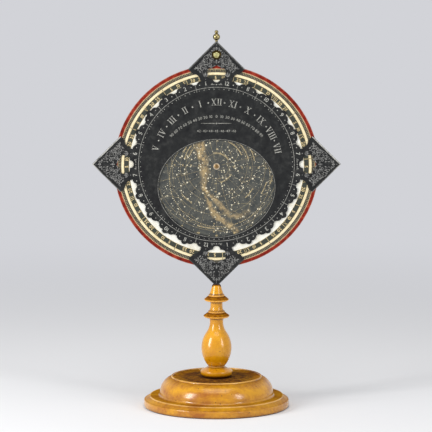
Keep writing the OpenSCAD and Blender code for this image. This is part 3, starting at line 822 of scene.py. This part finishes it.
# Stalks that join them
STALKS = [
    [(1.6, 122.2), (5, 120.8), (9, 120.6), (12.6, 121.8)],
    [(9.6, 131), (8.8, 128.4), (9.4, 126), (10.8, 124.4)],
    [(16.8, 127.4), (20.4, 125.4), (23.4, 124), (26, 122.6)],
    [(4.6, 139.2), (3.4, 137.6), (4.4, 135.6)],
    [(10.2, 134.8), (12.8, 135.4), (14.6, 133.8)],
]
# Leaves: foot, length, width, and the angle that they point at
LEAVES = [
    (16.8, 129.4, 3.8, 2, -25), (22.4, 118.4, 6.6, 2.2, 8), (9.2, 132.4, 3.6, 1.7, 150),
    (10.8, 122.8, 3.4, 1.9, 20), (16.2, 132.4, 3.4, 1.8, -60), (8.4, 138.6, 3, 1.5, -30),
    (4.4, 140.6, 3.2, 1.6, -10), (15, 107.6, 6.4, 2.6, 90), (14.4, 108, 5.4, 1.9, 122),
    (15.6, 108, 5.4, 1.9, 58), (27.2, 118.4, 3.8, 1.6, -8), (2.6, 132.4, 3, 1.4, 55),
    (21, 113.2, 4.4, 1.8, 40), (6.6, 125.4, 3, 1.5, 100), (11.6, 128.2, 3, 1.5, 0),
    (16, 121.6, 3.6, 1.7, 60), (21.4, 122, 3, 1.5, 160), (24.6, 118, 3, 1.4, -70),
    (5.4, 118.6, 3.4, 1.6, 20), (2.2, 125.6, 2.8, 1.4, 40),
]
BERRIES = [
    (21.8, 123.8), (7.6, 126.6), (14.8, 105), (12, 117.2), (6.4, 133.4), (19, 114.4), (28.2, 120),
    (17.6, 122.6),
]


def draw_corner(name, angle):
    """Scrollwork of one corner, the same on both sides of its axis."""
    half = Drawing()
    for scroll in SCROLLS:
        half.line(spiral(*scroll), width=1.15, end_width=0.55)
    for stalk in STALKS:
        half.line(stalk, width=1, end_width=0.5)
    for one_leaf in LEAVES:
        half.shape(leaf(*one_leaf))
    for x, y in BERRIES:
        half.dot(x, y, radius=0.65)
    scrolls = Drawing()
    for mirror in (-1, 1):
        first = len(scrolls.points)
        scrolls.points += [(mirror * x * NARROWED, y) for x, y in half.points]
        for face in half.faces:
            scrolls.faces.append([first + i for i in face][::mirror])
    # A leaf at the foot and one at the tip stand on the axis, with a berry over them
    scrolls.shape(leaf(0, 124.2, length=6, width=2.4, angle=90))
    scrolls.shape(leaf(0, 141, length=4.6, width=2.4, angle=90))
    scrolls.dot(0, 147.4, radius=0.6)
    scrolls.points = turned(scrolls.points, angle)
    lay_on_mask(scrolls, name, scroll_ink)


draw_hours()
draw_night_hours()
draw_degrees()
draw_window_border()
for corner_name, corner_angle in [("top", 0), ("right", 90), ("bottom", 180), ("left", 270)]:
    draw_corner("scrolls_" + corner_name, corner_angle)


# Print on the chart: lengths in millimetres, angles in degrees

# Figures of the sky, each drawn star by star: right ascension in hours, declination in
# degrees and magnitude
FIGURES = [
    # Little Bear, without its tail's end, which lies under the eyelet
    [(16.8, 82, 4), (15.7, 77.8, 4), (14.85, 74.2, 2), (15.35, 71.8, 3), (16.3, 75.8, 4),
     (15.7, 77.8, 4)],
    # Great Bear
    [(13.8, 49.3, 2), (13.4, 54.9, 2), (12.9, 56, 2), (12.25, 57, 3), (11.06, 61.8, 2),
     (11.03, 56.4, 2), (11.9, 53.7, 2), (12.25, 57, 3)],
    [(11.06, 61.8, 2), (9.5, 63.1, 4), (8.5, 60.7, 3)],
    [(11.03, 56.4, 2), (9.55, 51.7, 3), (9, 48, 3)],
    [(11.9, 53.7, 2), (11.16, 44.5, 3), (10.37, 41.5, 3)],
    # Cassiopeia
    [(0.15, 59.1, 2), (0.68, 56.5, 2), (0.95, 60.7, 2), (1.43, 60.2, 3), (1.91, 63.7, 3)],
    # Cepheus
    [(21.3, 62.6, 2), (21.5, 70.6, 3), (23.66, 77.6, 3), (22.8, 66.2, 3), (22.2, 58.2, 3),
     (21.3, 62.6, 2)],
    # Dragon
    [(11.5, 69.3, 4), (12.56, 69.8, 4), (14.07, 64.4, 4), (15.4, 59, 3), (16.4, 61.5, 3),
     (17.15, 65.7, 3), (19.2, 67.7, 3), (17.9, 56.9, 4), (17.94, 51.5, 2), (17.5, 52.3, 3)],
    # Perseus
    [(3.08, 53.5, 3), (3.41, 49.9, 2), (3.72, 47.8, 3), (3.96, 40, 3), (3.9, 31.9, 3)],
    [(3.41, 49.9, 2), (3.14, 41, 2)],
    # Andromeda and Pegasus
    [(2.07, 42.3, 2), (1.16, 35.6, 2), (0.66, 30.9, 3), (0.14, 29.1, 2), (23.06, 28.1, 2),
     (23.08, 15.2, 2), (0.22, 15.2, 3), (0.14, 29.1, 2)],
    [(23.08, 15.2, 2), (22.7, 10.8, 3), (22.2, 6.2, 4), (21.74, 9.9, 2)],
    # Ram and Triangle
    [(2.12, 23.5, 2), (1.91, 20.8, 3)],
    [(1.88, 29.6, 3), (2.16, 35, 3), (2.29, 33.8, 4), (1.88, 29.6, 3)],
    # Charioteer
    [(5.28, 46, 0), (5.99, 44.9, 2), (5.99, 37.2, 3), (5.44, 28.6, 2), (4.95, 33.2, 3),
     (5.28, 46, 0)],
    # Bull
    [(5.44, 28.6, 2), (4.6, 16.5, 1), (4.33, 15.6, 4), (4.6, 16.5, 1), (5.63, 21.1, 3)],
    [(3.79, 24.1, 3)],
    # Twins
    [(7.58, 31.9, 2), (6.73, 25.1, 3), (6.38, 22.5, 3)],
    [(7.76, 28, 1), (7.34, 22, 3), (6.63, 16.4, 2)],
    # Orion
    [(5.92, 7.4, 0), (5.42, 6.3, 2), (5.53, -0.3, 2), (5.24, -8.2, 0), (5.8, -9.7, 2),
     (5.68, -1.9, 2), (5.92, 7.4, 0)],
    [(5.53, -0.3, 2), (5.6, -1.2, 2), (5.68, -1.9, 2)],
    # Dogs
    [(7.66, 5.2, 0), (7.45, 8.3, 3)],
    [(6.38, -18, 2), (6.75, -16.7, 0), (7.14, -26.4, 2), (6.98, -29, 2)],
    [(7.14, -26.4, 2), (7.4, -29.3, 2)],
    # Lion
    [(9.76, 23.8, 3), (10.28, 23.4, 3), (10.33, 19.8, 2), (10.12, 16.8, 4), (10.14, 12, 1),
     (11.24, 15.4, 3), (11.82, 14.6, 2), (11.24, 20.5, 3), (10.33, 19.8, 2)],
    # Water Snake
    [(8.7, 3.4, 4), (8.9, 5.9, 3), (9.24, 2.3, 4), (9.46, -8.7, 2), (10.4, -16.8, 4),
     (11.5, -31.9, 4), (13.3, -23.2, 3)],
    # Virgin
    [(11.84, 1.8, 4), (12.7, -1.4, 3), (13.4, -11.2, 1)],
    [(12.7, -1.4, 3), (12.93, 3.4, 3), (13.04, 11, 3)],
    # Herdsman and Crown
    [(14.26, 19.2, 0), (14.75, 27.1, 2), (15.26, 33.3, 3), (15.03, 40.4, 3), (14.53, 38.3, 3),
     (14.26, 19.2, 0), (13.91, 18.4, 3)],
    [(15.55, 31.4, 4), (15.46, 29.1, 4), (15.58, 26.7, 2), (15.71, 26.3, 4), (15.96, 26.9, 4)],
    # Hercules
    [(16.5, 21.5, 3), (16.69, 31.6, 3), (16.71, 38.9, 3), (17.25, 36.8, 3), (17, 30.9, 4),
     (17.25, 24.8, 3), (17.24, 14.4, 3)],
    [(16.69, 31.6, 3), (17, 30.9, 4)],
    # Lyre
    [(18.62, 38.8, 0), (18.9, 36.9, 4), (18.98, 32.7, 3), (18.83, 33.4, 3), (18.62, 38.8, 0)],
    # Swan
    [(20.69, 45.3, 1), (20.37, 40.3, 2), (19.94, 35.1, 4), (19.51, 28, 3)],
    [(20.77, 34, 2), (20.37, 40.3, 2), (19.75, 45.1, 3)],
    # Eagle and Dolphin
    [(19.09, 13.9, 3), (19.85, 8.9, 1), (19.77, 10.6, 3), (19.42, 3.1, 3), (19.1, -4.9, 3)],
    [(19.85, 8.9, 1), (20.19, -0.8, 3)],
    [(20.55, 11.3, 4), (20.63, 14.6, 4), (20.66, 15.9, 4), (20.78, 16.1, 4), (20.72, 15.1, 4)],
    # Serpent Holder and Serpent
    [(17.58, 12.6, 2), (16.96, 9.4, 3), (16.24, -3.7, 3), (16.62, -10.6, 3), (17.17, -15.7, 2),
     (17.72, 4.6, 3), (17.58, 12.6, 2)],
    [(15.8, 15.4, 4), (15.74, 6.4, 3), (15.83, 4.5, 4), (16.24, -3.7, 3)],
    [(17.17, -15.7, 2), (18.36, -2.9, 3), (18.94, 4.2, 4)],
    # Scorpion
    [(16.09, -19.8, 3), (16.01, -22.6, 2), (16.49, -26.4, 1), (16.84, -34.3, 2),
     (17.62, -43, 2), (17.56, -37.1, 2)],
    # Archer
    [(18.1, -30.4, 3), (18.35, -29.8, 3), (18.47, -25.4, 3), (18.92, -26.3, 2),
     (19.04, -29.9, 3), (18.4, -34.4, 2), (18.35, -29.8, 3)],
    # Goat
    [(20.3, -12.5, 4), (20.35, -14.8, 3), (20.86, -26.9, 4), (21.44, -22.4, 4),
     (21.78, -16.1, 3), (20.35, -14.8, 3)],
    # Water Carrier and Southern Fish
    [(21.53, -5.6, 3), (22.1, -0.3, 3), (22.36, -1.4, 4), (22.91, -15.8, 3), (22.96, -29.6, 1)],
    # Fishes
    [(23.29, 3.3, 4), (23.99, 6.9, 4), (1.05, 7.9, 4), (2.03, 2.8, 4), (1.52, 15.3, 4),
     (1.2, 24.6, 4)],
    # Whale
    [(0.73, -18, 2), (1.14, -10.2, 3), (1.86, -10.3, 4), (2.32, -3, 3), (2.72, 3.2, 3),
     (3.04, 4.1, 2)],
    # River
    [(5.13, -5.1, 3), (4.6, -3.4, 4), (3.97, -13.5, 3), (3.72, -9.8, 3), (2.94, -8.9, 4),
     (2.75, -18.6, 4), (4.3, -33.8, 4)],
    # Hare and Dove
    [(5.22, -16.2, 3), (5.55, -17.8, 3), (5.47, -20.8, 3), (5.22, -16.2, 3)],
    [(5.66, -34.1, 3), (5.85, -35.8, 3)],
    # Stern and Sails
    [(8.13, -24.3, 3), (8.06, -40, 2), (7.29, -37.1, 3)],
    [(8.16, -47.3, 2), (9.13, -43.4, 2)],
    # Crow, Scales, Wolf, Centaur
    [(12.17, -22.6, 3), (12.26, -17.5, 3), (12.5, -16.5, 3), (12.57, -23.4, 3),
     (12.17, -22.6, 3)],
    [(14.85, -16, 3), (15.28, -9.4, 3), (15.59, -14.8, 4)],
    [(14.7, -47.4, 2), (14.98, -43.1, 3), (15.6, -41.2, 3)],
    [(14.11, -36.4, 2), (13.6, -36.7, 3), (12.69, -48.9, 2)],
]


def chart_angle(hour):
    """Angle on the chart of a right ascension, clockwise from the top at rest."""
    return (hour - TOP_HOUR) * 15


def circle_r(declination):
    """Radius on the chart of a circle of declination."""
    return (90 - declination) * DEGREE


def on_chart(hour, declination):
    """The point on the chart of a place in the sky."""
    return on_dial(circle_r(declination), chart_angle(hour))


def dots_along(drawing, points, gap, radius):
    """Dots at equal steps along a path."""
    left = 0
    for (x0, y0), (x1, y1) in zip(points, points[1:]):
        size = math.hypot(x1 - x0, y1 - y0)
        while left <= size:
            drawing.dot(x0 + (x1 - x0) * left / size, y0 + (y1 - y0) * left / size, radius,
                        sides=6)
            left += gap
        left -= size


# Tilt of the ecliptic against the equator, in degrees
OBLIQUITY = 23.44


def ecliptic():
    """The Sun's yearly path through the sky, as hours and declinations."""
    tilt = math.radians(OBLIQUITY)
    places = []
    for degrees in range(0, 361, 2):
        t = math.radians(degrees)
        hour = math.degrees(math.atan2(math.sin(t) * math.cos(tilt), math.cos(t))) / 15
        places.append((hour, math.degrees(math.asin(math.sin(t) * math.sin(tilt)))))
    return places


# The sheet's border is two lines with dots between them. The odd hour lines start at the polar
# circle, the even ones near the eyelet
BORDER_R = STAR_R - 4
OUTER_LINE_R = STAR_R - 1
BORDER_DOTS_R = STAR_R - 2.5
POLAR_CIRCLE = 66.6
CIRCLES = (POLAR_CIRCLE, 33.4, 0, -30)
TROPICS = (23.4, -23.4)
EVEN_LINE_START = 6.5


def draw_sky_circles():
    """The border, the hour lines, the circles of declination, the tropics and the ecliptic."""
    lines, dots = Drawing(), Drawing()
    for hour in range(24):
        start = circle_r(POLAR_CIRCLE) if hour % 2 else EVEN_LINE_START
        width = 0.16 if hour % 6 else 0.3
        lines.spoke(chart_angle(hour), start, BORDER_R, width)
    for declination in CIRCLES:
        lines.ring(circle_r(declination), width=0.3)
    lines.ring(BORDER_R, width=0.5)
    lines.ring(OUTER_LINE_R, width=0.6)
    for declination in TROPICS:
        dots_along(dots, arc(circle_r(declination), 0, 360), gap=1.6, radius=0.26)
    dots_along(dots, [on_chart(*place) for place in ecliptic()], gap=2.2, radius=0.42)
    dots_along(dots, arc(BORDER_DOTS_R, 0, 360), gap=2.7, radius=0.5)
    lay_on_chart(lines, "sky_circles", dim_gold_ink, lift=0.02)
    lay_on_chart(dots, "sky_dotted_circles", gold_ink, lift=0.03)


HOUR_MARK_R = STAR_R - 8.4
HOUR_MARK_H = 2.6
DECLINATION_MARK_H = 1.7


def draw_hour_marks():
    """Numbers of the hours of right ascension, and of declination along four hour lines."""
    marks = Drawing()
    for hour in range(1, 25):
        write(marks, str(hour), HOUR_MARK_R, chart_angle(hour), HOUR_MARK_H)
    for declination in range(60, -31, -15):
        for hour in (1, 7, 13, 19):
            # Just outside its circle and a little clockwise of its hour line
            write(marks, str(abs(declination)), circle_r(declination) + 0.7,
                  chart_angle(hour + 0.15), DECLINATION_MARK_H)
    lay_on_chart(marks, "sky_numbers", gold_ink, lift=0.03)


# Graduated arcs round the pole: radius and the angles at their ends at rest
SKY_SCALES = [
    (16.4, -10, 62), (33.6, 26, 66), (39.6, 30, 78), (46.6, 40, 82), (20, 120, 165),
    (35.4, 290, 314), (39.8, 284, 310), (43.6, 294, 314), (54, 214, 230), (52, 122, 138),
    (64, 108, 122), (76.6, 182, 198), (69, 98, 108),
]
TICK_PITCH = 1.5


def draw_sky_scales():
    """The graduated arcs, with a taller tick at every fifth place."""
    scales = Drawing()
    for radius, start, end in SKY_SCALES:
        scales.line(arc(radius, start, end), width=0.3)
        step = math.degrees(TICK_PITCH / radius)
        for i in range(int((end - start) / step) + 1):
            tall = 1.1 if i % 5 else 1.7
            scales.spoke(start + i * step, radius, radius + tall, width=0.4)
    lay_on_chart(scales, "sky_scales", gold_ink, lift=0.035)


# Faint stars: the places tried, and the radii that they are drawn with
FAINT_STARS = 850
FAINT_RADII = [0.25, 0.3, 0.38, 0.5]


def draw_stars():
    """The figures' stars and lines, with faint stars scattered between them."""
    lines, stars, faint = Drawing(), Drawing(), Drawing()
    seen = set()
    for figure in FIGURES:
        path = [on_chart(hour, declination) for hour, declination, _ in figure]
        for a, b in zip(path, path[1:]):
            lines.line([a, b], width=0.3)
        for (x, y), (_, _, magnitude) in zip(path, figure):
            if (x, y) not in seen:
                seen.add((x, y))
                stars.star(x, y, 1.7 - 0.25 * magnitude)
    chance = random.Random(5)
    for _ in range(FAINT_STARS):
        # The square root spreads them evenly over the sheet. None lies under the eyelet
        radius = (STAR_R - 5.5) * math.sqrt(chance.random())
        if radius > 6:
            x, y = on_dial(radius, chance.uniform(0, 360))
            faint.dot(x, y, chance.choice(FAINT_RADII), sides=6)
    lay_on_chart(lines, "figure_lines", dim_gold_ink, lift=0.04)
    lay_on_chart(faint, "faint_stars", star_ink, lift=0.05)
    lay_on_chart(stars, "bright_stars", star_ink, lift=0.06)


# The Milky Way as printed, and its branch beyond the rift: points in millimetres from the pole,
# with half the band's width and the strength of its print
MILKY_WAY = [
    (24, 92, 9, 0.9), (8, 76, 9, 0.9), (-6, 60, 9, 0.9), (-15, 44, 9, 1), (-20, 29, 9, 1),
    (-19.5, 18, 8.5, 1), (-16, 7, 9, 1), (-14.2, -3, 9.5, 1), (-15, -13, 7.5, 1),
    (-15.3, -24, 5.2, 1), (-13, -31, 4.8, 1), (-10, -40, 4.8, 0.95), (-7.5, -50, 5.4, 0.9),
    (-1, -60, 6, 0.9), (11, -69, 6.4, 0.9), (21, -77, 6, 0.8), (28, -86, 6, 0.7), (34, -96, 6, 0.6),
]
MILKY_BRANCH = [
    (-14, -29, 3, 0.9), (-7, -37, 4.5, 0.9), (2, -44.5, 5, 0.85), (10, -55, 6, 0.75),
    (20, -61, 6.5, 0.65), (31, -60, 6.5, 0.5), (41, -54, 6, 0.3),
]
BAND_EDGE_R = STAR_R - 4.2
# Points across a band, and from point to point along its path
BAND_ROWS = 9
BAND_STEPS = 6


def smooth(path):
    """Points along a curve through those of the path, which may have any number of values."""
    result = []
    for i in range(len(path) - 1):
        before, start = path[max(0, i - 1)], path[i]
        end, after = path[i + 1], path[min(len(path) - 1, i + 2)]
        for k in range(BAND_STEPS):
            t = k / BAND_STEPS
            result.append([
                0.5 * (2 * b + (c - a) * t + (2 * a - 5 * b + 4 * c - d) * t ** 2
                       + (3 * b - a - 3 * c + d) * t ** 3)
                for a, b, c, d in zip(before, start, end, after)
            ])
    return result + [list(path[-1])]


def lay_band(name, path, lift):
    """Lays a band of the printed sky along a path, cut at the border. Its UV map holds the
    strength of the print and the place across the band, from 0 to 1."""
    path = smooth(path)
    points, places, outside, faces = [], [], [], []
    for i, (x, z, half, strength) in enumerate(path):
        before, after = path[max(0, i - 1)], path[min(len(path) - 1, i + 1)]
        dx, dz = after[0] - before[0], after[1] - before[1]
        size = math.hypot(dx, dz)
        for row in range(BAND_ROWS):
            share = row / (BAND_ROWS - 1)
            offset = half * (2 * share - 1)
            px, pz = x - dz / size * offset, z + dx / size * offset
            reach = math.hypot(px, pz)
            shrink = min(1, BAND_EDGE_R / reach)
            points.append((px * shrink * MM, SHEET_FACE - lift * MM, POLE + pz * shrink * MM))
            places.append((strength, share))
            outside.append(reach >= BAND_EDGE_R)
    for i in range(len(path) - 1):
        for row in range(BAND_ROWS - 1):
            first = i * BAND_ROWS + row
            corners = [first, first + BAND_ROWS, first + BAND_ROWS + 1, first + 1]
            if not all(outside[k] for k in corners):
                faces.append(corners)
    mesh = bpy.data.meshes.new(name)
    mesh.from_pydata(points, [], faces)
    band = mesh.uv_layers.new(name="band")
    for loop in mesh.loops:
        band.data[loop.index].uv = places[loop.vertex_index]
    carry(name, mesh, milky_way_paper, "chart")


MONTH_DAYS = [31, 28, 31, 30, 31, 30, 31, 31, 30, 31, 30, 31]
DAYS_IN_YEAR = 365.25
DAY_OF_MARCH_EQUINOX = 80
# Radii of the strokes, from start to end, and of the numbers' feet, with the numbers' heights
MONTH_LINE = (107, 113.4)
MONTH_TICK = (113.4, 116.7)
DAY_TICK = (117.6, 120.2)
FIFTH_DAY_TICK = (116.9, 120.2)
MONTH_NUMBER_R = 107.8
MONTH_NUMBER_H = 4.8
DATE_NUMBER_R = 108.1
DATE_NUMBER_H = 4
# Rules between the bands: radius and pen width
DATE_RULES = [(107.1, 0.4), (113.3, 0.35), (120.4, 0.35)]


def date_angle(day):
    """Angle of a day of the year on the chart: it lies in line with the Sun of that day."""
    return (day - DAY_OF_MARCH_EQUINOX) / DAYS_IN_YEAR * 360 + chart_angle(0)


def draw_dates():
    """Day ticks, month lines, and each month's number between its tenth and its twentieth."""
    ticks, days, numbers, rules = Drawing(), Drawing(), Drawing(), Drawing()
    first = 0
    for month, length in enumerate(MONTH_DAYS):
        rules.spoke(date_angle(first), *MONTH_LINE, width=0.5)
        ticks.spoke(date_angle(first), *MONTH_TICK, width=0.6)
        write(numbers, ROMAN_NUMERALS[month], MONTH_NUMBER_R, date_angle(first + 15),
              MONTH_NUMBER_H, letter=ROMAN.get, space=0.1)
        for date in (5, 10, 20, 25):
            write(numbers, str(date), DATE_NUMBER_R, date_angle(first + date), DATE_NUMBER_H)
        for date in range(length):
            reach = DAY_TICK if date % 5 else FIFTH_DAY_TICK
            days.spoke(date_angle(first + date), *reach, width=0.6)
        first += length
    for radius, width in DATE_RULES:
        rules.ring(radius, width)
    lay_on_chart(rules, "date_rules", gold_ink)
    lay_on_chart(days, "day_ticks", dim_gold_ink, lift=0.03)
    lay_on_chart(ticks, "month_ticks", black_ink, lift=0.03)
    lay_on_chart(numbers, "month_numbers", gold_ink, lift=0.03)


lay_band("milky_way", MILKY_WAY, lift=0.01)
lay_band("milky_way_branch", MILKY_BRANCH, lift=0.013)
draw_sky_circles()
draw_hour_marks()
draw_sky_scales()
draw_stars()
draw_dates()


# Room, lamps and camera: lengths in metres

BACKDROP = "#d2d3d8"
FLOOR_HALF = 40
# The floor is matt white up to the first distance from the object and backdrop from the second
FLOOR_FADE = (0.35, 1.3)
# Strength of the backdrop's light on rough surfaces; mirrors and the camera see all of it
SKY_LIGHT = 0.55


def pale_floor(material, place):
    """Matt white floor: it takes the object's shadow near it and turns into the pale grey of the
    backdrop further off."""
    away = add(material, "VectorMath", {0: place}, operation="LENGTH")
    far = add(material, "MapRange", {"Value": away, "From Min": FLOOR_FADE[0],
                                     "From Max": FLOOR_FADE[1]}, interpolation_type="SMOOTHSTEP")
    matt = add(material, "BsdfDiffuse", {"Color": tint("#f2f2f2")})
    plain = add(material, "Emission", {"Color": tint(BACKDROP), "Strength": 1})
    return add(material, "MixShader", {0: far, 1: matt, 2: plain})


def make_room():
    """The floor, and the world with the backdrop's colour."""
    mesh = bpy.data.meshes.new("floor")
    mesh.from_pydata([(x * FLOOR_HALF, y * FLOOR_HALF, 0)
                      for x, y in [(-1, -1), (1, -1), (1, 1), (-1, 1)]], [], [(0, 1, 2, 3)])
    mesh.materials.append(finish("pale_floor", pale_floor))
    floor = put("floor", mesh)
    world = bpy.data.worlds.new("studio")
    bpy.context.scene.world = world
    world.use_nodes = True
    world.node_tree.nodes.clear()
    rays = add(world, "LightPath")
    seen = 0
    for kind in ("Is Camera Ray", "Is Glossy Ray", "Is Transmission Ray"):
        seen = add(world, "Math", {0: rays.outputs[kind], 1: seen}, operation="MAXIMUM")
    strength = add(world, "MapRange", {"Value": seen, "To Min": SKY_LIGHT})
    sky = add(world, "Background", {"Color": tint(BACKDROP), "Strength": strength})
    add(world, "OutputWorld", {"Surface": sky})


def stand_off(piece, target, azimuth, elevation, distance):
    """Stands a lamp or the camera off a point and aims it there. Azimuth 0 is in front, and
    positive is to the right."""
    a, e = math.radians(azimuth), math.radians(elevation)
    away = Vector((math.sin(a) * math.cos(e), -math.cos(a) * math.cos(e), math.sin(e)))
    piece.location = Vector(target) + away * distance
    piece.rotation_euler = (-away).to_track_quat("-Z", "Y").to_euler()


def softbox(name, azimuth, elevation, distance, width, height, watts, aim_z):
    """A soft rectangular lamp, aimed at a height on the stand's axis."""
    lamp = bpy.data.lights.new(name, "AREA")
    lamp.shape = "RECTANGLE"
    lamp.size, lamp.size_y = width, height
    lamp.energy = watts
    stand_off(put(name, lamp), (0, 0, aim_z), azimuth, elevation, distance)


# The photograph: 432 pixels show this many millimetres at the stem, and the camera looks down at
# 9 degrees on the card and at 10.6 on the base, so it stood about 9 metres off
FRAME_MM = 529.4
CAMERA_ELEVATION = 9.3
CAMERA_DISTANCE = 9.3
AIM = (-0.0006, 0, 0.2368)


def place_camera():
    """The camera of the photograph."""
    lens = bpy.data.cameras.new("camera")
    lens.sensor_width = 36
    lens.lens = lens.sensor_width * CAMERA_DISTANCE / (FRAME_MM * MM)
    lens.clip_end = 200
    camera = put("camera", lens)
    stand_off(camera, AIM, azimuth=0, elevation=CAMERA_ELEVATION, distance=CAMERA_DISTANCE)
    bpy.context.scene.camera = camera


make_room()
softbox("left_softbox", azimuth=-58, elevation=15, distance=1.7, width=0.42, height=1, watts=23,
        aim_z=0.2)
softbox("right_softbox", azimuth=48, elevation=15, distance=1.7, width=0.35, height=0.9,
        watts=9.5, aim_z=0.2)
softbox("top_softbox", azimuth=0, elevation=70, distance=1.6, width=1.2, height=1.2, watts=10,
        aim_z=0.15)
place_camera()
bpy.context.scene.view_settings.view_transform = "Standard"
